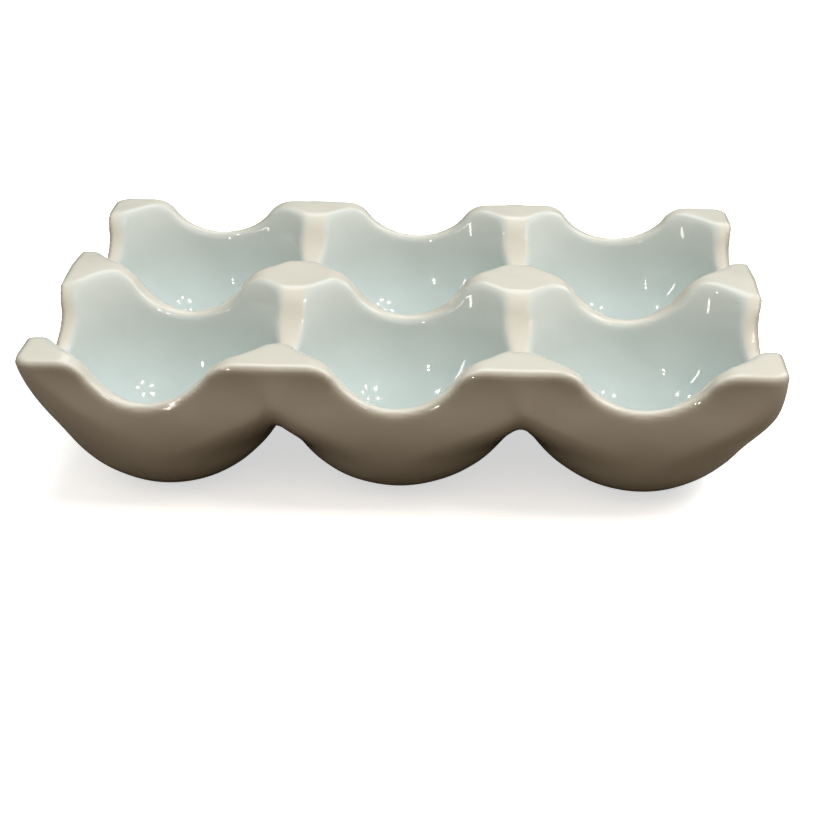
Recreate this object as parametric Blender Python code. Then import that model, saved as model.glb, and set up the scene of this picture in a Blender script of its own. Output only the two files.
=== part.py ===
"""Porcelain egg holder tray: two rows of three cups, cast and glazed as one piece.

Run it with: blender --background --python part.py
Units are metres, +Z is up, and the origin is on the table, under the middle of the tray.
X runs along the row of three cups and Y from the front row to the back row.

The tray is one casting, so it is one object. Its outside is one loft for each cup, square at
the rim and round at the foot, and the outer walls draw in a little below the rim. A short bar
with a round nose dips the rim in the middle of every wall, which leaves flat-topped posts
between, and a revolved cavity is cut into each cup.
"""

import math

import bmesh
import bpy

MM = 0.001

# Driving dimensions
COLUMNS = 3
ROWS = 2
CUP_PITCH = 50.0 * MM
RIM_REACH = 27.5 * MM        # cup centre to the tray's outer face
TRAY_HEIGHT = 36.0 * MM
BOWL_CENTRE_DEPTH = 9.5 * MM  # rim to the centre of the bowl's sphere
WALL = 4.6 * MM

# Plan corners of a cup's outline: radius at the rim, and how late they open up lower down
POST_CORNER = (1.5 * MM, 1.75)
TRAY_CORNER = (4.0 * MM, 1.0)
FULLEST_ROUND = 0.999            # the corner's share of the half width where it is a circle
ROUND_DEPTH = 25.0 * MM          # from here down the plan outline is a circle
OUTSIDE_RINGS = 12
CORNER_SEGMENTS = 7

# The tray's outer walls draw in below the rim, and come back to the bowls' spheres
LEAN = 1.4 * MM
LEAN_RISE = 4.5 * MM
LEAN_DEPTH = 24.0 * MM

# Inside of one cup
MOUTH_RADIUS = 27.0 * MM      # cavity radius in the rim's plane, where only posts remain
FLARE_DEPTH = 14.0 * MM
FLARE_POWER = 2.4             # 1 is a straight flare, and more turns the wall vertical sooner
CAVITY_STEPS = 32
FLARE_SEGMENTS = 4
WELL_SEGMENTS = 8

# Dip in the middle of each wall
DIP_DEPTH = 10.0 * MM
DIP_RADIUS = 14.5 * MM
DIP_SHOULDER_RADIUS = 7.0 * MM
DIP_HALF_LENGTH = 6.2 * MM     # across the wall, from its middle plane
BACK_DIP_SCALE = 0.82          # the back wall's dips are shallower
END_DIP_SCALE = 0.87           # the end walls' dips are shorter
NOSE_SEGMENTS = 7
SHOULDER_SEGMENTS = 4

OVERSHOOT = 3.0 * MM          # cutters stand this far above the rim
SLANT = 0.4 * MM              # height over which a dip's cutter leaves the rim at a slant
WELD = 0.01 * MM

CAVITY_RADIUS = RIM_REACH - WALL

GLAZE_COLOUR = (0.82, 0.84, 0.80, 1.0)


def clear_scene():
    for thing in list(bpy.data.objects):
        bpy.data.objects.remove(thing)


def glazed_porcelain():
    material = bpy.data.materials.new("glazed_porcelain")
    material.use_nodes = True
    shader = material.node_tree.nodes["Principled BSDF"]
    shader.inputs["Base Color"].default_value = GLAZE_COLOUR
    shader.inputs["Roughness"].default_value = 0.08
    shader.inputs["Metallic"].default_value = 0.0
    return material


def row_positions(count):
    """Cup centres along one axis, about the tray's middle."""
    return [(i - (count - 1) / 2) * CUP_PITCH for i in range(count)]


def add_object(name, mesh_builder):
    """A new object whose mesh comes from a bmesh."""
    mesh = bpy.data.meshes.new(name)
    mesh_builder.to_mesh(mesh)
    mesh_builder.free()
    thing = bpy.data.objects.new(name, mesh)
    bpy.context.scene.collection.objects.link(thing)
    return thing


def outer_sides(index, count):
    """The sides, -1 or 1, on which a column or row has no neighbour."""
    sides = []
    if index == 0:
        sides.append(-1)
    if index == count - 1:
        sides.append(1)
    return sides


def outline_half_width(depth):
    """Half the width of a cup's outside at a depth: straight, then the bowl's sphere."""
    below = max(0.0, depth - BOWL_CENTRE_DEPTH)
    return math.sqrt(RIM_REACH**2 - below**2)


def outline_corner_radius(depth, corner):
    """The plan outline's corner, from nearly square at the rim to a circle low down."""
    rim_radius, power = corner
    share = min(1.0, depth / ROUND_DEPTH)
    opened = (share * share * (3.0 - 2.0 * share)) ** power
    full = outline_half_width(depth) * FULLEST_ROUND
    return rim_radius + (full - rim_radius) * opened


def lean_scale(depth, across):
    """Shrinkage of an outer wall: none at the posts and the rim, most in a cup's middle."""
    rise = 1.0 - math.exp(-depth / LEAN_RISE)
    fall = 0.5 + 0.5 * math.cos(math.pi * min(1.0, depth / LEAN_DEPTH))
    middle = 1.0 - min(1.0, abs(across) / RIM_REACH) ** 3
    return 1.0 - LEAN / RIM_REACH * rise * fall * middle


def cup_outline(depth, column, row):
    """Plan outline of a cup's outside at a depth, anticlockwise from +X."""
    half = outline_half_width(depth)
    outer_x, outer_y = outer_sides(column, COLUMNS), outer_sides(row, ROWS)
    points = []
    for quarter, (side_x, side_y) in enumerate(((1, 1), (-1, 1), (-1, -1), (1, -1))):
        tray_corner = side_x in outer_x and side_y in outer_y
        corner = TRAY_CORNER if tray_corner else POST_CORNER
        radius = min(half * FULLEST_ROUND, outline_corner_radius(depth, corner))
        for step in range(CORNER_SEGMENTS + 1):
            angle = math.pi / 2 * (quarter + step / CORNER_SEGMENTS)
            x = side_x * (half - radius) + radius * math.cos(angle)
            y = side_y * (half - radius) + radius * math.sin(angle)
            leaning_x = x * lean_scale(depth, y) if side_x in outer_x else x
            leaning_y = y * lean_scale(depth, x) if side_y in outer_y else y
            points.append((leaning_x, leaning_y))
    return points


def bridge_rings(builder, rings):
    """Closes a stack of equal rings, lowest first, into a solid."""
    count = len(rings[0])
    for lower, upper in zip(rings, rings[1:]):
        for i in range(count):
            j = (i + 1) % count
            builder.faces.new((lower[i], lower[j], upper[j], upper[i]))
    builder.faces.new(list(reversed(rings[0])))
    builder.faces.new(rings[-1])


def trim_to_cell(builder, column, row):
    """Cuts a cup's outside off at the planes that it shares with its neighbours."""
    sides = (
        (column > 0, (-1, 0, 0)),
        (column < COLUMNS - 1, (1, 0, 0)),
        (row > 0, (0, -1, 0)),
        (row < ROWS - 1, (0, 1, 0)),
    )
    for shared, direction in sides:
        if shared:
            everything = builder.verts[:] + builder.edges[:] + builder.faces[:]
            plane_point = [CUP_PITCH / 2 * part for part in direction]
            bmesh.ops.bisect_plane(
                builder,
                geom=everything,
                plane_co=plane_point,
                plane_no=direction,
                clear_outer=True,
            )


def cup_outside_mesh(column, row):
    """One cup's outside: a loft of plan outlines from the foot up to the rim."""
    builder = bmesh.new()
    rings = []
    for i in range(OUTSIDE_RINGS + 1):
        depth = TRAY_HEIGHT * math.sin(math.pi / 2 * (1 - i / OUTSIDE_RINGS))
        z = TRAY_HEIGHT - depth
        outline = cup_outline(depth, column, row)
        rings.append([builder.verts.new((x, y, z)) for x, y in outline])
    bridge_rings(builder, rings)
    trim_to_cell(builder, column, row)
    bmesh.ops.translate(
        builder,
        verts=builder.verts,
        vec=(row_positions(COLUMNS)[column], row_positions(ROWS)[row], 0.0),
    )
    mesh = bpy.data.meshes.new("cup_outside")
    builder.to_mesh(mesh)
    builder.free()
    return mesh


def add_tray_blank():
    """The uncut tray: the cups' outsides, welded where they meet."""
    builder = bmesh.new()
    for row in range(ROWS):
        for column in range(COLUMNS):
            mesh = cup_outside_mesh(column, row)
            builder.from_mesh(mesh)
            bpy.data.meshes.remove(mesh)
    bmesh.ops.remove_doubles(builder, verts=builder.verts, dist=WELD)
    return add_object("egg_tray", builder)


def mouth_flare(depth):
    """How much wider than the well's sphere the cavity is at a depth."""
    share = max(0.0, 1.0 - depth / FLARE_DEPTH)
    return (MOUTH_RADIUS - CAVITY_RADIUS) * share**FLARE_POWER


def cavity_profile():
    """(radius, depth) down the cavity's wall: the flared mouth, then the round well."""
    points = [(CAVITY_RADIUS + mouth_flare(-OVERSHOOT), -OVERSHOOT)]
    for i in range(FLARE_SEGMENTS):
        depth = BOWL_CENTRE_DEPTH * i / FLARE_SEGMENTS
        points.append((CAVITY_RADIUS + mouth_flare(depth), depth))
    for i in range(WELL_SEGMENTS + 1):
        angle = math.pi / 2 * i / WELL_SEGMENTS
        depth = BOWL_CENTRE_DEPTH + CAVITY_RADIUS * math.sin(angle)
        points.append((CAVITY_RADIUS * math.cos(angle) + mouth_flare(depth), depth))
    return points


def add_cavity(name, x, y):
    """The cup's hollow, revolved about the cup's axis."""
    profile = cavity_profile()
    chain_points = [(0.0, profile[0][1])] + profile[:-1] + [(0.0, profile[-1][1])]
    builder = bmesh.new()
    chain = [builder.verts.new((r, 0.0, TRAY_HEIGHT - depth)) for r, depth in chain_points]
    for upper, lower in zip(chain, chain[1:]):
        builder.edges.new((upper, lower))
    cavity = add_object(name, builder)
    cavity.location = (x, y, 0.0)
    screw = cavity.modifiers.new("revolve", "SCREW")
    screw.axis = "Z"
    screw.angle = math.tau
    screw.steps = CAVITY_STEPS
    screw.render_steps = CAVITY_STEPS
    screw.use_merge_vertices = True
    screw.merge_threshold = WELD
    return cavity


def dip_outline():
    """(along the wall, height above the rim) of the dip, from one shoulder to the other."""
    nose_centre = DIP_RADIUS - DIP_DEPTH
    reach = DIP_RADIUS + DIP_SHOULDER_RADIUS
    rise = nose_centre + DIP_SHOULDER_RADIUS
    shoulder_x = math.sqrt(reach**2 - rise**2)
    meet = math.atan2(shoulder_x, rise)
    right = []
    for i in range(NOSE_SEGMENTS + 1):
        angle = meet * i / NOSE_SEGMENTS
        right.append((DIP_RADIUS * math.sin(angle), nose_centre - DIP_RADIUS * math.cos(angle)))
    for i in range(1, SHOULDER_SEGMENTS):
        angle = meet * (1 - i / SHOULDER_SEGMENTS)
        x = shoulder_x - DIP_SHOULDER_RADIUS * math.sin(angle)
        right.append((x, -DIP_SHOULDER_RADIUS * (1 - math.cos(angle))))
    # The last point is over the rim, so the cutter leaves the rim at a slant.
    right.append((shoulder_x, SLANT))
    right.append((shoulder_x, OVERSHOOT))
    left = [(-x, z) for x, z in reversed(right[1:])]
    return left + right


def add_dip(name, wall_x, wall_y, crosses_x, length_scale=1.0, depth_scale=1.0):
    """A short bar that dips one wall, and that runs across it, along X or along Y."""
    builder = bmesh.new()
    rings = []
    for end in (-DIP_HALF_LENGTH, DIP_HALF_LENGTH):
        ring = []
        for along, height in dip_outline():
            along *= length_scale
            shift_x, shift_y = (end, along) if crosses_x else (along, end)
            z = TRAY_HEIGHT + (height * depth_scale if height < 0 else height)
            ring.append(builder.verts.new((wall_x + shift_x, wall_y + shift_y, z)))
        rings.append(ring)
    bridge_rings(builder, rings)
    bmesh.ops.recalc_face_normals(builder, faces=builder.faces)
    return add_object(name, builder)


def wall_lines(count):
    """Middle planes of the walls that cross one axis, the two outer walls among them."""
    return [(i - count / 2) * CUP_PITCH for i in range(count + 1)]


def add_cutters(name, things):
    """Puts cutters that don't touch each other in one collection."""
    group = bpy.data.collections.new(name)
    bpy.context.scene.collection.children.link(group)
    for thing in things:
        bpy.context.scene.collection.objects.unlink(thing)
        group.objects.link(thing)
        thing.hide_render = True
        thing.display_type = "WIRE"
    return group


def cut(target, group):
    modifier = target.modifiers.new("cut_" + group.name, "BOOLEAN")
    modifier.operation = "DIFFERENCE"
    modifier.operand_type = "COLLECTION"
    modifier.collection = group
    modifier.solver = "EXACT"


def add_dips():
    """One dip in the middle of every wall, the outer walls included."""
    dips = []
    for y_index, y in enumerate(row_positions(ROWS)):
        for x_index, x in enumerate(wall_lines(COLUMNS)):
            at_end = x_index in (0, COLUMNS)
            scale = END_DIP_SCALE if at_end else 1.0
            dips.append(add_dip(f"dip_x{x_index}_{y_index}", x, y, True, length_scale=scale))
    for x_index, x in enumerate(row_positions(COLUMNS)):
        for y_index, y in enumerate(wall_lines(ROWS)):
            at_back = y_index == ROWS
            scale = BACK_DIP_SCALE if at_back else 1.0
            dips.append(add_dip(f"dip_y{x_index}_{y_index}", x, y, False, depth_scale=scale))
    return dips


def add_cavities():
    cavities = []
    for y_index, y in enumerate(row_positions(ROWS)):
        for x_index, x in enumerate(row_positions(COLUMNS)):
            cavities.append(add_cavity(f"cavity_{x_index}_{y_index}", x, y))
    return cavities


def build_tray():
    tray = add_tray_blank()
    cut(tray, add_cutters("dips", add_dips()))
    cut(tray, add_cutters("cavities", add_cavities()))
    tray.data.materials.append(glazed_porcelain())
    tray.data.shade_smooth()


clear_scene()
build_tray()
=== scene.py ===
"""Looks of the porcelain egg holder tray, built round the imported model.

The tray is one glazed casting. Its fine surface is an implicit shape: bowls, cavities and
dipped walls as distance functions with round joins, drawn out to a mesh on a regular grid.
Units are metres in the frame, and millimetres inside the shape functions.
"""

import math

import bpy
import numpy as np
from mathutils import Matrix, Vector


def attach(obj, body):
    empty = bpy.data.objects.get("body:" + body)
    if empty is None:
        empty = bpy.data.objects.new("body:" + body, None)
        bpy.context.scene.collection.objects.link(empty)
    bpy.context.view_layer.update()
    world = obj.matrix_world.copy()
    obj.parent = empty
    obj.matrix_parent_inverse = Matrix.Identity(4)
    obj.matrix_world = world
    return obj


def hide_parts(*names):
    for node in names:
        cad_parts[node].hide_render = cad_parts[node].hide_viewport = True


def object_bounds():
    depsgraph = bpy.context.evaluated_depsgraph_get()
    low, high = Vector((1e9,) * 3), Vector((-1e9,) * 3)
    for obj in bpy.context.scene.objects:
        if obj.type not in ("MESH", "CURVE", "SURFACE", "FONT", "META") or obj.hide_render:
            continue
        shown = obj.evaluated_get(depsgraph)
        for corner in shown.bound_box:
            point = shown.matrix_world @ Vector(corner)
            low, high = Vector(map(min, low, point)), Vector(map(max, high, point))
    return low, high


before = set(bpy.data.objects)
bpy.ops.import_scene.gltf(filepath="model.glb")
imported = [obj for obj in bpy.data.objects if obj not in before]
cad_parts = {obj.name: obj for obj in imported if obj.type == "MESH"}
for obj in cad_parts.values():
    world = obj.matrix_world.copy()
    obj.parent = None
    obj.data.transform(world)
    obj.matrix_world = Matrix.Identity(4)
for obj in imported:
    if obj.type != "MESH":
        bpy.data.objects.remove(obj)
CAD_LOW, CAD_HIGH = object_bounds()

MM = 0.001

# Driving dimensions in millimetres, from the frame where it holds them
LENGTH, WIDTH, HEIGHT = ((CAD_HIGH - CAD_LOW) / MM)[:]
COLUMNS = 3
ROWS = 2
PITCH = 50.0             # between the middles of neighbouring cups
REACH = (LENGTH - (COLUMNS - 1) * PITCH) / 2  # cup centre to the outer face
WALL = 4.6
CAVITY_RADIUS = REACH - WALL
BOWL_CENTRE_DEPTH = 9.5  # from the rim down to the middle of a bowl's sphere

# Plan corners of a cup's outline: radius at the rim, and how late they open up lower down
POST_CORNER = 0.5
POST_CORNER_POWER = 1.75
TRAY_CORNER = 4.0
TRAY_CORNER_POWER = (0.92, 1.5)   # on the left and on the right
ROUND_DEPTH = 25.0       # the outline is a circle from here down
SIDE_LEAN = 1.4          # how far the front and back draw in below the rim
END_LEAN = 1.6           # and the two ends
LEAN_RISE = 4.5          # depth over which they do
LEAN_GAIN = 1.35         # makes up for the part that is lost where rise and return overlap
LEAN_DEPTH = 24.0        # where they are back on the bowls' spheres

# A cup's hollow flares from a round well up to its mouth
MOUTH_RADIUS = 27.0
FLARE_DEPTH = 14.0
FLARE_POWER = 2.4        # 1 is a straight flare, and more turns the wall vertical sooner
FLARE_LIMIT = 1.3        # above the rim it goes on up to this share of the full flare's height

# A dip in the rim: its depth, the radius of its bottom and of its two shoulders
DIP_DEPTH = 10.0
DIP_RADIUS = 14.5
DIP_SHOULDER = 7.0

# Unevenness of this casting
SLUMP_ALL = -0.35        # every cup's lower part leans this far along X
SLUMP_LAST = 2.0         # and the last column leans this much the other way
SLUMP_DEPTH = 14.0       # where they reach the full lean
FRONT_DIP_SHIFT = -1.6   # the first front dip is this far off the cup's middle
BACK_DIP_SCALE = 0.82    # the back wall's dips are shallower
FRONT_LAST_DIP_SCALE = 0.9    # and so is the last one in front
END_DIP_NARROWING = 1.15      # the end walls' dips are narrower
FRONT_LEFT_NARROWING = 1.14   # and so is the front of the first dip between two cups
SAG = 0.6                # the first column hangs this much lower
RIGHT_END_GROWTH = 1.1   # the right end is this much longer
END_POST_RISE = 1.0      # the posts in the middle of both ends are this much taller
WAVE_HEIGHT = 0.12       # long waves in the surface, and shorter ones
FINE_WAVE_HEIGHT = 0.04
WAVES_FADE_HEIGHT = 6.0  # they fade out below this height, so that the feet stay flat

OUTER_EDGE = 1.2         # between a wall's top and the outside
POST_EDGE = 0.8          # between a post's top and a cavity
DIP_EDGE = 1.3           # the same edge down in a dip
VALLEY_ROUND = 2.0       # fillet where two bowls meet underneath
VALLEY_DEPTHS = (1.0, 16.0)   # the fillet grows from nothing between these depths
FOOT_ROUND = 0.8

# Where the glaze changes, and where the outside's darker colour with its painted shade starts:
# distances from the hollow, from the outside and above the table
CUP_GLAZE_EDGE = (0.15, 1.0)
OUTER_GLAZE_AND_SHADE_EDGE = (0.1, 1.0)
BARE_HEIGHTS = (0.3, 0.9)     # the feet are unglazed up to about here
POOL_DEPTHS = (2.0, 26.0)     # the glaze in a cup gets thicker between these depths
POOL_AT_MOUTH = 0.55          # share of the full thickness at the mouth

VOXEL = 0.93
GRID_MARGIN = 2               # empty cells round the tray
SETTLE_STEPS = 4
SLOPE_STEP = 0.05             # for measuring the shape function's slope

# Glaze colours, linear
THIN_GLAZE = (0.800, 0.770, 0.690)
POOLED_GLAZE = (0.630, 0.720, 0.730)
# The outside's darker taupe is partly the glaze's own warm tone and partly painted shade of the
# underside
OUTER_GLAZE_AND_PAINTED_SHADE = (0.505, 0.450, 0.385)
CLOUD_GLAZE = (0.550, 0.600, 0.560)
BARE_CLAY = (0.620, 0.560, 0.470)
CLOUD_SHARE = 0.10            # how far the cloudy patches go towards their colour
GLOSS_ROUGHNESS = (0.03, 0.07)
CLAY_EXTRA_ROUGHNESS = 0.6
GLAZE_IOR = 1.52

# The glaze's unevenness: the part of a noise's range in use, and sizes in features per metre
NOISE_RANGE = (0.3, 0.7)
CLOUD_SCALE = 45.0
GLOSS_SCALE = 220.0
RIPPLE_SCALE = 190.0
RIPPLE_STRENGTH = 0.35
RIPPLE_HEIGHT = 0.0002

# The stage, in metres
FLOOR_SIZE = 40.0
FLOOR_DROP = 0.0003
TABLE_DROP = 0.0006
FLOOR_GLOW = 0.62
TABLE_BROWN = (0.200, 0.168, 0.130)

# The camera: place in millimetres, angles in degrees
CAMERA_PLACE = (16.54, -345.97, HEIGHT + 133.48)
CAMERA_TILT, CAMERA_TURN, CAMERA_ROLL = 25.94, 2.48, 0.23
CAMERA_LENS = 70.7
SENSOR_WIDTH = 36.0

LAMP_DISTANCE = 1.0

# Soft lamps that don't show in the glaze: direction from the tray, width and height in metres,
# watts, colour
SOFT_LAMPS = {
    "above": ((0.0, 0.0, 1.0), (0.5, 0.5), 2.75, (0.86, 0.96, 1.00)),
    "right_front": ((0.5, -0.3, 0.8), (0.2, 0.2), 2.4, (1.00, 0.87, 0.71)),
    "right": ((0.7, 0.0, 0.7), (0.5, 0.5), 2.4, (0.93, 0.95, 1.00)),
    "front": ((0.0, -0.7, 0.7), (0.5, 0.5), 1.0, (1.00, 0.82, 0.64)),
    "left_low": ((-0.9, -0.45, 0.04), (0.5, 0.2), 0.6, (1.00, 0.93, 0.85)),
}

# The same, for lamps that are also mirrored in the glaze
MIRRORED_LAMPS = {
    "right_back": ((0.6, 0.6, 0.5), (0.5, 0.5), 1.5, (0.90, 0.97, 1.00)),
    "back": ((0.0, 0.7, 0.7), (0.5, 0.5), 1.0, (0.80, 0.93, 1.00)),
    "left_high": ((-0.88, -0.30, 0.36), (0.04, 0.30), 0.5, (1.00, 0.93, 0.84)),
}

# Directions of small bulbs that only sparkle in the glaze, and a ring of them overhead
BULBS = (
    (-0.44, -0.84, 0.28),
    (-0.44, -0.82, 0.36),
    (-0.43, -0.78, 0.44),
    (-0.44, -0.75, 0.53),
    (-0.75, -0.10, 0.65),
    (-0.62, -0.30, 0.72),
)
RING_CENTRE = (0.5, -0.3, 0.8)
RING_RADIUS = 0.14
RING_BULBS = 5
BULB_RADIUS = 0.015
BULB_WATTS = 2.4
BULB_COLOUR = (1.0, 0.93, 0.82)

# The room's light by height: 0 is the horizon and 1 is straight up
ROOM_LIGHT = (
    (0.10, (0.020, 0.018, 0.014)),
    (0.40, (0.060, 0.075, 0.045)),
    (0.75, (0.600, 0.560, 0.530)),
    (1.00, (0.161, 0.189, 0.172)),
)


# ---------------------------------------------------------------- shape functions

def cup_centres(count):
    """Places of the cups' middles along one axis."""
    return [(i - (count - 1) / 2) * PITCH for i in range(count)]


def nearest_cup(along, count):
    """Distance from the nearest cup's centre along one axis."""
    index = np.clip(np.round(along / PITCH + (count - 1) / 2), 0, count - 1)
    return np.abs(along - (index - (count - 1) / 2) * PITCH)


def next_cup(along, count):
    """Distance from the next cup across the nearest wall, far away past the last one."""
    near = nearest_cup(along, count)
    inside = np.abs(along) < (count - 1) / 2 * PITCH
    return np.where(inside, PITCH - near, PITCH)


def bump(along, centre, reach):
    """A smooth hump that is 1 at its centre and 0 from reach away outwards."""
    share = np.clip(np.abs(along - centre) / reach, 0.0, 1.0)
    return 0.5 + 0.5 * np.cos(math.pi * share)


def smooth_step(low, high, value):
    """Rises smoothly from 0 at low to 1 at high."""
    share = np.clip((value - low) / (high - low), 0.0, 1.0)
    return share * share * (3.0 - 2.0 * share)


def round_union(a, b, radius):
    """Distance to both shapes together, with a fillet where they meet."""
    u = np.maximum(radius - a, 0.0)
    v = np.maximum(radius - b, 0.0)
    return np.maximum(radius, np.minimum(a, b)) - np.hypot(u, v)


def round_intersection(a, b, radius):
    """Distance to what the two shapes share, with a rounded edge."""
    u = np.maximum(radius + a, 0.0)
    v = np.maximum(radius + b, 0.0)
    return np.minimum(-radius, np.maximum(a, b)) + np.hypot(u, v)


def square_round_size(x, y, roundness):
    """Half width of the round-cornered square through (x, y). roundness 1 makes it a circle."""
    high = np.maximum(x, y)
    low = np.minimum(x, y)
    straight = 1.0 - roundness
    total = straight * (high + low)
    square = high**2 + low**2
    under = np.maximum(total**2 - (2 * straight**2 - roundness**2) * square, 0.0)
    on_corner = square / np.maximum(total + np.sqrt(under), 1e-6)
    return np.where(low <= straight * high, high, on_corner)


def bowl_outside(x, y, depth, rim_corner=POST_CORNER, power=POST_CORNER_POWER):
    """Outside of one cup about its centre: square at the rim, a sphere lower down."""
    below = np.maximum(depth - BOWL_CENTRE_DEPTH, 0.0)
    opened = smooth_step(0.0, ROUND_DEPTH, depth) ** power
    start = rim_corner / REACH
    roundness = start + (1.0 - start) * opened
    return np.hypot(square_round_size(x, y, roundness), below) - REACH


def drawn_in(along, near, across, count, depth, lean):
    """Distance from a cup's centre, stretched beyond the last cup where the wall leans in.

    across is the distance from the cup's middle along that wall: the posts don't lean.
    """
    rise = 1.0 - np.exp(-np.maximum(depth, 0.0) / LEAN_RISE)
    fall = 0.5 + 0.5 * np.cos(math.pi * np.clip(depth / LEAN_DEPTH, 0.0, 1.0))
    middle = 1.0 - np.clip(across / REACH, 0.0, 1.0) ** 3
    last = np.abs(along) > (count - 1) / 2 * PITCH
    stretch = lean * rise * fall * middle * LEAN_GAIN / REACH
    return np.where(last, near * (1.0 + stretch), near)


def outside(x, y, depth):
    """All the bowls, with a fillet in the valleys between them."""
    near_x = nearest_cup(x, COLUMNS)
    near_y = nearest_cup(y, ROWS)
    next_x = next_cup(x, COLUMNS)
    next_y = next_cup(y, ROWS)
    past_columns = np.abs(x) > (COLUMNS - 1) / 2 * PITCH
    past_rows = np.abs(y) > (ROWS - 1) / 2 * PITCH
    tray_corner = past_columns & past_rows
    rim_corner = np.where(tray_corner, TRAY_CORNER, POST_CORNER)
    corner_power = np.where(x < 0, TRAY_CORNER_POWER[0], TRAY_CORNER_POWER[1])
    power = np.where(tray_corner, corner_power, POST_CORNER_POWER)
    own_x = drawn_in(x, near_x, near_y, COLUMNS, depth, END_LEAN)
    own_y = drawn_in(y, near_y, near_x, ROWS, depth, SIDE_LEAN)
    own = bowl_outside(own_x, own_y, depth, rim_corner, power)
    fillet = VALLEY_ROUND * smooth_step(*VALLEY_DEPTHS, depth)
    row = round_union(own, bowl_outside(next_x, own_y, depth), fillet)
    next_row = round_union(
        bowl_outside(own_x, next_y, depth), bowl_outside(next_x, next_y, depth), fillet
    )
    return round_union(row, next_row, fillet)


def cavity(x, y, depth):
    """Hollow of the nearest cup: a round well under a flared mouth. Negative in the hollow."""
    from_axis = np.hypot(nearest_cup(x, COLUMNS), nearest_cup(y, ROWS))
    flare = MOUTH_RADIUS - CAVITY_RADIUS
    share = np.clip(1.0 - depth / FLARE_DEPTH, 0.0, FLARE_LIMIT)
    slope = flare * FLARE_POWER * share ** (FLARE_POWER - 1.0) / FLARE_DEPTH
    sideways = np.maximum(from_axis - flare * share**FLARE_POWER, 0.0)
    below = np.maximum(depth - BOWL_CENTRE_DEPTH, 0.0)
    return (np.hypot(sideways, below) - CAVITY_RADIUS) / np.sqrt(1.0 + slope**2)


def wall_top(x, y, depth):
    """How far a point is above the rim, which dips in the middle of every wall."""
    from_post_x = np.abs(PITCH / 2 - nearest_cup(x, COLUMNS))
    from_post_y = np.abs(PITCH / 2 - nearest_cup(y, ROWS))
    along = PITCH / 2 - np.maximum(from_post_x, from_post_y)
    runs_along_x = from_post_x > from_post_y
    at_end = ~runs_along_x & (np.abs(x) > (COLUMNS - 1) / 2 * PITCH)
    along = np.where(at_end, along * END_DIP_NARROWING, along)
    at_front_left = bump(x, -PITCH / 2, PITCH / 4) * (y < -PITCH / 2) * ~runs_along_x
    along = along * (1.0 + (FRONT_LEFT_NARROWING - 1.0) * at_front_left)
    scale = 1.0 + (BACK_DIP_SCALE - 1.0) * (runs_along_x & (y > PITCH / 2))
    last_dip = bump(x, cup_centres(COLUMNS)[-1], PITCH / 2)
    scale = scale + (FRONT_LAST_DIP_SCALE - 1.0) * last_dip * (y < -PITCH / 2)
    nose_centre = DIP_RADIUS - DIP_DEPTH
    reach = DIP_RADIUS + DIP_SHOULDER
    shoulder = math.sqrt(reach**2 - (nose_centre + DIP_SHOULDER) ** 2)
    meet = shoulder * DIP_RADIUS / reach
    t = np.abs(along)
    nose = np.sqrt(np.maximum(DIP_RADIUS**2 - np.minimum(t, meet) ** 2, 0.0)) - nose_centre
    side = np.clip(shoulder - t, 0.0, DIP_SHOULDER)
    shoulder_drop = DIP_SHOULDER - np.sqrt(DIP_SHOULDER**2 - side**2)
    drop = np.where(t < meet, nose, shoulder_drop)
    nose_slope = t / np.sqrt(np.maximum(DIP_RADIUS**2 - np.minimum(t, meet) ** 2, 1.0))
    side_slope = side / np.sqrt(np.maximum(DIP_SHOULDER**2 - side**2, 1.0))
    slope = np.where(t < meet, nose_slope, side_slope)
    return (drop * scale - depth) / np.sqrt(1.0 + (slope * scale) ** 2)


def slump_x(x, depth):
    """Sideways lean of the cups' lower parts, which the rim does not share."""
    lean = SLUMP_ALL + SLUMP_LAST * bump(x, cup_centres(COLUMNS)[-1], PITCH)
    return lean * smooth_step(0.0, SLUMP_DEPTH, depth)


def sag(x, depth):
    """How much lower the first column's bowls hang."""
    return SAG * bump(x, cup_centres(COLUMNS)[0], PITCH) * smooth_step(0.0, ROUND_DEPTH, depth)


def front_dip_shift(x, y):
    """The first cup's front dip is a little off the cup's middle."""
    in_front = np.clip((-y - PITCH / 2) / (PITCH / 4), 0.0, 1.0)
    return FRONT_DIP_SHIFT * bump(x, cup_centres(COLUMNS)[0], PITCH / 2) * in_front


def grown_x(x):
    """X before the right end grew longer."""
    last = cup_centres(COLUMNS)[-1]
    return x - RIGHT_END_GROWTH * smooth_step(last, last + REACH, x)


def end_post_rise(x, y):
    """How much taller the posts between the rows are at the two ends."""
    at_end = smooth_step(LENGTH / 2 - PITCH / 2, LENGTH / 2 - WALL, np.abs(x))
    return END_POST_RISE * at_end * bump(y, 0.0, PITCH / 2)


def hand_finish(x, y, depth):
    """Slight waves in a slip-cast wall, a tenth of a millimetre or so."""
    waves = np.sin(0.21 * x + 0.9) * np.sin(0.17 * y + 2.1) * np.cos(0.19 * depth + 0.4)
    fine = np.sin(0.47 * x + 0.31 * y + 0.2) * np.sin(0.53 * depth - 0.29 * y + 1.3)
    return WAVE_HEIGHT * waves + FINE_WAVE_HEIGHT * fine


def tray(x, y, z):
    """Negative in the porcelain. Coordinates are millimetres in the frame."""
    depth = HEIGHT - z
    x = grown_x(x)
    slumped = x - slump_x(x, depth)
    sagged = depth - sag(x, depth)
    footed = round_intersection(outside(slumped, y, sagged), -z, FOOT_ROUND)
    top = wall_top(x - front_dip_shift(x, y), y, depth + end_post_rise(x, y))
    blank = round_intersection(footed, top, OUTER_EDGE)
    edge = POST_EDGE + (DIP_EDGE - POST_EDGE) * np.clip(depth / DIP_DEPTH, 0.0, 1.0)
    whole = round_intersection(blank, -cavity(slumped, y, sagged), edge)
    fade = np.clip(z / WAVES_FADE_HEIGHT, 0.0, 1.0)
    return whole + hand_finish(x, y, depth) * fade


# ---------------------------------------------------------------- implicit shape to mesh

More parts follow.
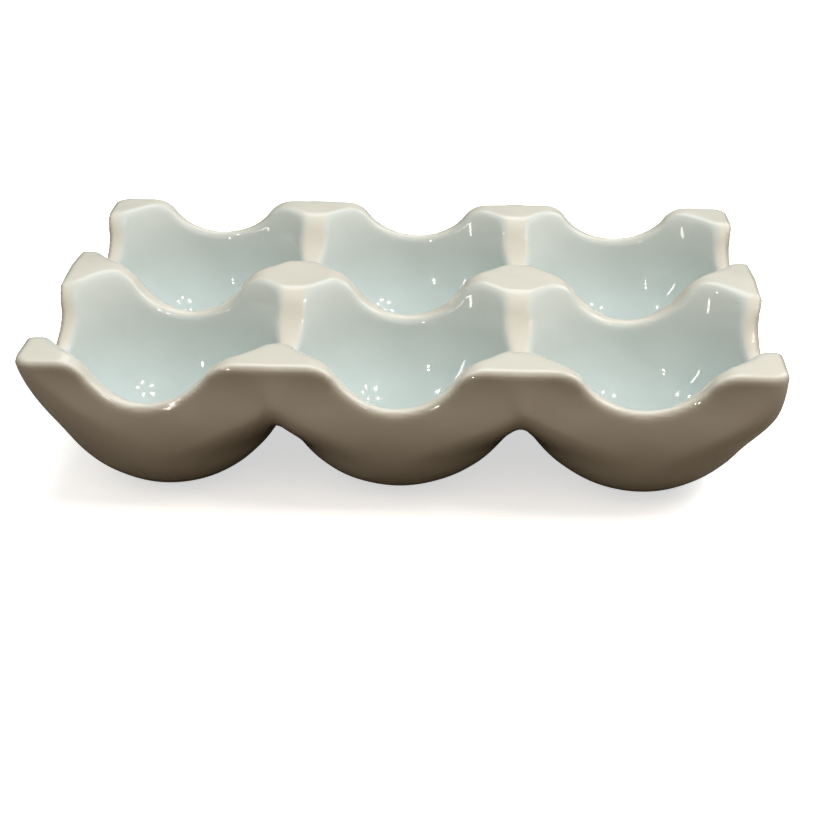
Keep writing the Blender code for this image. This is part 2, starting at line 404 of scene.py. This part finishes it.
def grid_axis(low, high):
    """Grid coordinates that reach a little past low and high."""
    count = int(math.ceil((high - low) / VOXEL)) + 2 * GRID_MARGIN + 1
    return low - GRID_MARGIN * VOXEL + np.arange(count) * VOXEL


def sample_grid(axes):
    """The tray's function on the grid, one X slab at a time to save memory."""
    xs, ys, zs = axes
    field = np.empty((len(xs), len(ys), len(zs)), np.float32)
    grid_y, grid_z = np.meshgrid(ys, zs, indexing="ij")
    for i, x in enumerate(xs):
        field[i] = tray(np.full_like(grid_y, x), grid_y, grid_z)
    return field


def surface_net(field, axes):
    """One point in each cell the surface crosses, and one quad round each crossed edge."""
    corners = [(i, j, k) for i in (0, 1) for j in (0, 1) for k in (0, 1)]
    shape = tuple(n - 1 for n in field.shape)

    def block(corner):
        i, j, k = corner
        return field[i : i + shape[0], j : j + shape[1], k : k + shape[2]]

    inside_count = sum((block(c) < 0).astype(np.int8) for c in corners)
    active = (inside_count > 0) & (inside_count < 8)
    cells = np.argwhere(active)
    number = np.full(shape, -1, np.int64)
    number[active] = np.arange(len(cells))
    value = {c: block(c)[active].astype(float) for c in corners}
    total = np.zeros((len(cells), 3))
    hits = np.zeros(len(cells))
    for start in corners:
        for axis in range(3):
            if start[axis]:
                continue
            end = tuple(c + (a == axis) for a, c in enumerate(start))
            crossed = (value[start] < 0) != (value[end] < 0)
            gap = value[start] - value[end]
            share = np.where(crossed, value[start] / np.where(crossed, gap, 1.0), 0.0)
            point = np.tile(np.array(start, float), (len(cells), 1))
            point[:, axis] += share
            total += point * crossed[:, None]
            hits += crossed
    points = cells + total / hits[:, None]
    origin = np.array([a[0] for a in axes])
    quads = []
    for axis in range(3):
        u, v = (axis + 1) % 3, (axis + 2) % 3
        sign = field < 0
        low = np.take(sign, range(0, sign.shape[axis] - 1), axis)
        high = np.take(sign, range(1, sign.shape[axis]), axis)
        for flips, reverse in ((low & ~high, False), (~low & high, True)):
            edge = np.argwhere(flips)
            back_u = np.zeros(3, int)
            back_v = np.zeros(3, int)
            back_u[u] = 1
            back_v[v] = 1
            ring = [edge - back_u - back_v, edge - back_v, edge, edge - back_u]
            faces = np.stack([number[tuple(r.T)] for r in ring], 1)
            quads.append(faces[:, ::-1] if reverse else faces)
    return origin + points * VOXEL, np.concatenate(quads)


def gradient(points):
    """The tray function's slope at each point."""
    step = SLOPE_STEP
    x, y, z = points.T
    slopes = [
        tray(x + step, y, z) - tray(x - step, y, z),
        tray(x, y + step, z) - tray(x, y - step, z),
        tray(x, y, z + step) - tray(x, y, z - step),
    ]
    return np.stack(slopes, 1) / (2 * step)


def onto_surface(points):
    """One Newton step towards the surface, no longer than half a cell."""
    slope = gradient(points)
    steep = np.maximum((slope**2).sum(1), 0.04)
    move = -(tray(*points.T) / steep)[:, None] * slope
    length = np.linalg.norm(move, axis=1, keepdims=True)
    return points + move * np.minimum(1.0, 0.5 * VOXEL / np.maximum(length, 1e-9))


def even_out(points, quads):
    """Moves each point halfway to the mean of its neighbours, and back onto the surface."""
    total = np.zeros_like(points)
    count = np.zeros(len(points))
    for a, b in ((0, 1), (1, 2), (2, 3), (3, 0)):
        np.add.at(total, quads[:, a], points[quads[:, b]])
        np.add.at(count, quads[:, a], 1)
        np.add.at(total, quads[:, b], points[quads[:, a]])
        np.add.at(count, quads[:, b], 1)
    relaxed = 0.5 * points + 0.5 * total / count[:, None]
    return onto_surface(onto_surface(relaxed))


def glaze_zones(points):
    """How pooled the glaze is at each point, how much it is on the outside, and how bare."""
    x, y, z = points.T
    depth = HEIGHT - z
    x = grown_x(x)
    slumped = x - slump_x(x, depth)
    sagged = depth - sag(x, depth)
    in_cup = 1.0 - smooth_step(*CUP_GLAZE_EDGE, np.abs(cavity(slumped, y, sagged)))
    thickness = POOL_AT_MOUTH + (1.0 - POOL_AT_MOUTH) * smooth_step(*POOL_DEPTHS, depth)
    pooled = in_cup * thickness
    # The outside zone takes the darker colour, which is partly painted shade
    outer_painted_shade = 1.0 - smooth_step(*OUTER_GLAZE_AND_SHADE_EDGE, np.abs(outside(slumped, y, sagged)))
    bare = 1.0 - smooth_step(*BARE_HEIGHTS, z)
    return pooled, outer_painted_shade * (1.0 - in_cup), bare


def store_point_values(mesh, name, values):
    """One number for each of the mesh's points, under a name that the material reads."""
    layer = mesh.attributes.new(name, "FLOAT", "POINT")
    layer.data.foreach_set("value", np.asarray(values, np.float32))


def build_tray_mesh():
    """The tray as a mesh of quads, with the glaze's zones stored on its points."""
    axes = [
        grid_axis(-LENGTH / 2, LENGTH / 2 + RIGHT_END_GROWTH),
        grid_axis(-WIDTH / 2, WIDTH / 2),
        grid_axis(0.0, HEIGHT + END_POST_RISE),
    ]
    points, quads = surface_net(sample_grid(axes), axes)
    for _ in range(SETTLE_STEPS):
        points = even_out(points, quads)
    mesh = bpy.data.meshes.new("egg_tray_glazed")
    mesh.vertices.add(len(points))
    mesh.vertices.foreach_set("co", (points * MM).astype(np.float32).ravel())
    mesh.loops.add(quads.size)
    mesh.loops.foreach_set("vertex_index", quads.astype(np.int32).ravel())
    mesh.polygons.add(len(quads))
    mesh.polygons.foreach_set("loop_start", np.arange(0, quads.size, 4, dtype=np.int32))
    mesh.update(calc_edges=True)
    mesh.validate()
    mesh.shade_smooth()
    for name, values in zip(("pooled", "outer_painted_shade", "bare"), glaze_zones(points)):
        store_point_values(mesh, name, values)
    return mesh


# ---------------------------------------------------------------- materials

class Nodes:
    """A material's node tree, with short ways to add and join the nodes used here."""

    def __init__(self, name):
        self.material = bpy.data.materials.new(name)
        self.material.use_nodes = True
        self.tree = self.material.node_tree
        self.shader = self.tree.nodes["Principled BSDF"]

    def add(self, kind, **settings):
        node = self.tree.nodes.new("ShaderNode" + kind)
        for name, value in settings.items():
            setattr(node, name, value)
        return node

    def join(self, source, target):
        self.tree.links.new(source, target)

    def attribute(self, name):
        return self.add("Attribute", attribute_name=name).outputs["Fac"]

    def noise(self, scale, detail=2.0):
        """Noise over the frame's own coordinates. scale is in features per metre."""
        place = self.add("TexCoord")
        noise = self.add("TexNoise")
        noise.inputs["Scale"].default_value = scale
        noise.inputs["Detail"].default_value = detail
        self.join(place.outputs["Object"], noise.inputs["Vector"])
        return noise.outputs["Fac"]

    def spread(self, noise, low, high):
        """Maps a noise's usual range to low..high, clamped."""
        change = self.add("MapRange", clamp=True)
        self.join(noise, change.inputs["Value"])
        ends = dict(zip(("From Min", "From Max", "To Min", "To Max"), (*NOISE_RANGE, low, high)))
        for end, value in ends.items():
            change.inputs[end].default_value = value
        return change.outputs["Result"]

    def mix(self, factor, first, second):
        """factor is a socket, and the colours are sockets or RGB triples."""
        mix = self.add("Mix", data_type="RGBA")
        self.join(factor, mix.inputs["Factor"])
        colour_sockets = [i for i in mix.inputs if i.type == "RGBA"]
        for socket, colour in zip(colour_sockets, (first, second)):
            if isinstance(colour, tuple):
                socket.default_value = (*colour, 1.0)
            else:
                self.join(colour, socket)
        return [o for o in mix.outputs if o.type == "RGBA"][0]


def glaze_material():
    """Gloss glaze: cream where it is thin, blue-green where it pools, and a darker taupe outside
    that is partly the glaze's own tone and partly painted shade.

    The feet are bare clay.
    """
    nodes = Nodes("glazed_porcelain")
    shader = nodes.shader
    # On the outside the colour is darkened: partly the glaze's tone, partly painted shade
    outer_painted_shade = nodes.mix(nodes.attribute("outer_painted_shade"), THIN_GLAZE, OUTER_GLAZE_AND_PAINTED_SHADE)
    glazed = nodes.mix(nodes.attribute("pooled"), outer_painted_shade, POOLED_GLAZE)
    cloud = nodes.spread(nodes.noise(CLOUD_SCALE, 3.0), 0.0, CLOUD_SHARE)
    clouded = nodes.mix(cloud, glazed, CLOUD_GLAZE)
    bare = nodes.attribute("bare")
    nodes.join(nodes.mix(bare, clouded, BARE_CLAY), shader.inputs["Base Color"])
    gloss = nodes.spread(nodes.noise(GLOSS_SCALE), *GLOSS_ROUGHNESS)
    roughness = nodes.add("Math", operation="MULTIPLY_ADD")
    nodes.join(bare, roughness.inputs[0])
    roughness.inputs[1].default_value = CLAY_EXTRA_ROUGHNESS
    nodes.join(gloss, roughness.inputs[2])
    nodes.join(roughness.outputs[0], shader.inputs["Roughness"])
    shader.inputs["IOR"].default_value = GLAZE_IOR
    ripple = nodes.add("Bump")
    ripple.inputs["Strength"].default_value = RIPPLE_STRENGTH
    ripple.inputs["Distance"].default_value = RIPPLE_HEIGHT
    nodes.join(nodes.noise(RIPPLE_SCALE, 1.0), ripple.inputs["Height"])
    nodes.join(ripple.outputs["Normal"], shader.inputs["Normal"])
    return nodes.material


# ---------------------------------------------------------------- stage, camera and lights

def add_ground(name, drop, colour, roughness):
    """A level matt plane, drop metres below the feet. Gives the plane and its shader."""
    bpy.ops.mesh.primitive_plane_add(size=FLOOR_SIZE, location=(0.0, 0.0, -drop))
    ground = bpy.context.object
    ground.name = name
    nodes = Nodes(name)
    nodes.shader.inputs["Base Color"].default_value = (*colour, 1.0)
    nodes.shader.inputs["Roughness"].default_value = roughness
    nodes.shader.inputs["Specular IOR Level"].default_value = 0.0
    ground.data.materials.append(nodes.material)
    return ground, nodes.shader


def add_floor():
    """A plain pale floor. It takes shadows, but throws no light back up at the tray."""
    floor, shader = add_ground("floor", FLOOR_DROP, (1.0, 1.0, 1.0), 1.0)
    shader.inputs["Emission Color"].default_value = (1.0, 1.0, 1.0, 1.0)
    shader.inputs["Emission Strength"].default_value = FLOOR_GLOW
    floor.visible_diffuse = False
    floor.visible_glossy = False
    floor.visible_shadow = False


def add_table():
    """A warm surface under the floor that lights the bowls from below, and isn't seen itself."""
    table, _ = add_ground("table", TABLE_DROP, TABLE_BROWN, 0.8)
    table.visible_camera = False


def add_camera():
    """The camera stands in front of the tray, a little right of its middle, looking down."""
    data = bpy.data.cameras.new("camera")
    camera = bpy.data.objects.new("camera", data)
    bpy.context.scene.collection.objects.link(camera)
    data.sensor_width = SENSOR_WIDTH
    data.lens = CAMERA_LENS
    data.clip_start = 0.01
    data.clip_end = 20.0
    tilt, turn, roll = (math.radians(a) for a in (CAMERA_TILT, CAMERA_TURN, CAMERA_ROLL))
    forward = Vector(
        (-math.sin(turn) * math.cos(tilt), math.cos(turn) * math.cos(tilt), -math.sin(tilt))
    )
    level = forward.cross(Vector((0, 0, 1))).normalized()
    up = level.cross(forward)
    right = level * math.cos(roll) + up * math.sin(roll)
    up = right.cross(forward)
    turned = Matrix((right, up, -forward)).transposed()
    place = Vector(CAMERA_PLACE) * MM
    camera.matrix_world = Matrix.Translation(place) @ turned.to_4x4()
    bpy.context.scene.camera = camera


def add_lamp(name, direction, size, watts, colour, mirrored):
    """A soft rectangular lamp that faces the tray."""
    data = bpy.data.lights.new(name, "AREA")
    data.shape = "RECTANGLE"
    data.size, data.size_y = size
    data.energy = watts
    data.color = colour
    lamp = bpy.data.objects.new(name, data)
    bpy.context.scene.collection.objects.link(lamp)
    towards = Vector(direction).normalized()
    lamp.location = towards * LAMP_DISTANCE
    lamp.rotation_euler = towards.to_track_quat("Z", "Y").to_euler()
    lamp.visible_glossy = mirrored


def add_bulb(index, direction):
    """A small round lamp that shows in the glaze, but doesn't light the tray."""
    data = bpy.data.lights.new(f"bulb_{index}", "POINT")
    data.shadow_soft_size = BULB_RADIUS
    data.energy = BULB_WATTS
    data.color = BULB_COLOUR
    bulb = bpy.data.objects.new(f"bulb_{index}", data)
    bpy.context.scene.collection.objects.link(bulb)
    bulb.location = Vector(direction).normalized() * LAMP_DISTANCE
    bulb.visible_diffuse = False


def ring_of_bulbs():
    """Directions of a ring of bulbs round RING_CENTRE."""
    centre = Vector(RING_CENTRE).normalized()
    side = centre.cross(Vector((0, 0, 1))).normalized()
    up = side.cross(centre)
    for i in range(RING_BULBS):
        angle = 2 * math.pi * i / RING_BULBS
        yield centre + (side * math.cos(angle) + up * math.sin(angle)) * RING_RADIUS


def set_world():
    """White to the camera. For everything else a room that is lit by height."""
    world = bpy.data.worlds.new("world")
    bpy.context.scene.world = world
    world.use_nodes = True
    tree = world.node_tree
    tree.nodes.clear()
    output = tree.nodes.new("ShaderNodeOutputWorld")
    switch = tree.nodes.new("ShaderNodeMixShader")
    path = tree.nodes.new("ShaderNodeLightPath")
    seen = tree.nodes.new("ShaderNodeBackground")
    seen.inputs["Color"].default_value = (1.0, 1.0, 1.0, 1.0)
    room = tree.nodes.new("ShaderNodeBackground")
    place = tree.nodes.new("ShaderNodeTexCoord")
    split = tree.nodes.new("ShaderNodeSeparateXYZ")
    half = tree.nodes.new("ShaderNodeMath")
    half.operation = "MULTIPLY_ADD"
    half.inputs[1].default_value = 0.5
    half.inputs[2].default_value = 0.5
    ramp = tree.nodes.new("ShaderNodeValToRGB")
    stops = ramp.color_ramp.elements
    stops.remove(stops[1])
    for i, (height, colour) in enumerate(ROOM_LIGHT):
        position = height / 2 + 0.5
        stop = stops[0] if i == 0 else stops.new(position)
        stop.position = position
        stop.color = (*colour, 1.0)
    tree.links.new(place.outputs["Generated"], split.inputs["Vector"])
    tree.links.new(split.outputs["Z"], half.inputs[0])
    tree.links.new(half.outputs["Value"], ramp.inputs["Fac"])
    tree.links.new(ramp.outputs["Color"], room.inputs["Color"])
    tree.links.new(path.outputs["Is Camera Ray"], switch.inputs["Fac"])
    tree.links.new(room.outputs["Background"], switch.inputs[1])
    tree.links.new(seen.outputs["Background"], switch.inputs[2])
    tree.links.new(switch.outputs["Shader"], output.inputs["Surface"])


body = bpy.data.objects.new("glazed_tray", build_tray_mesh())
bpy.context.scene.collection.objects.link(body)
body.data.materials.append(glaze_material())
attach(body, "root")
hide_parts("egg_tray")

add_floor()
add_table()
add_camera()
for lamps, mirrored in ((SOFT_LAMPS, False), (MIRRORED_LAMPS, True)):
    for lamp_name, lamp in lamps.items():
        add_lamp(lamp_name, *lamp, mirrored)
for bulb_index, bulb_direction in enumerate([*BULBS, *ring_of_bulbs()]):
    add_bulb(bulb_index, bulb_direction)
set_world()
bpy.context.scene.view_settings.view_transform = "Standard"
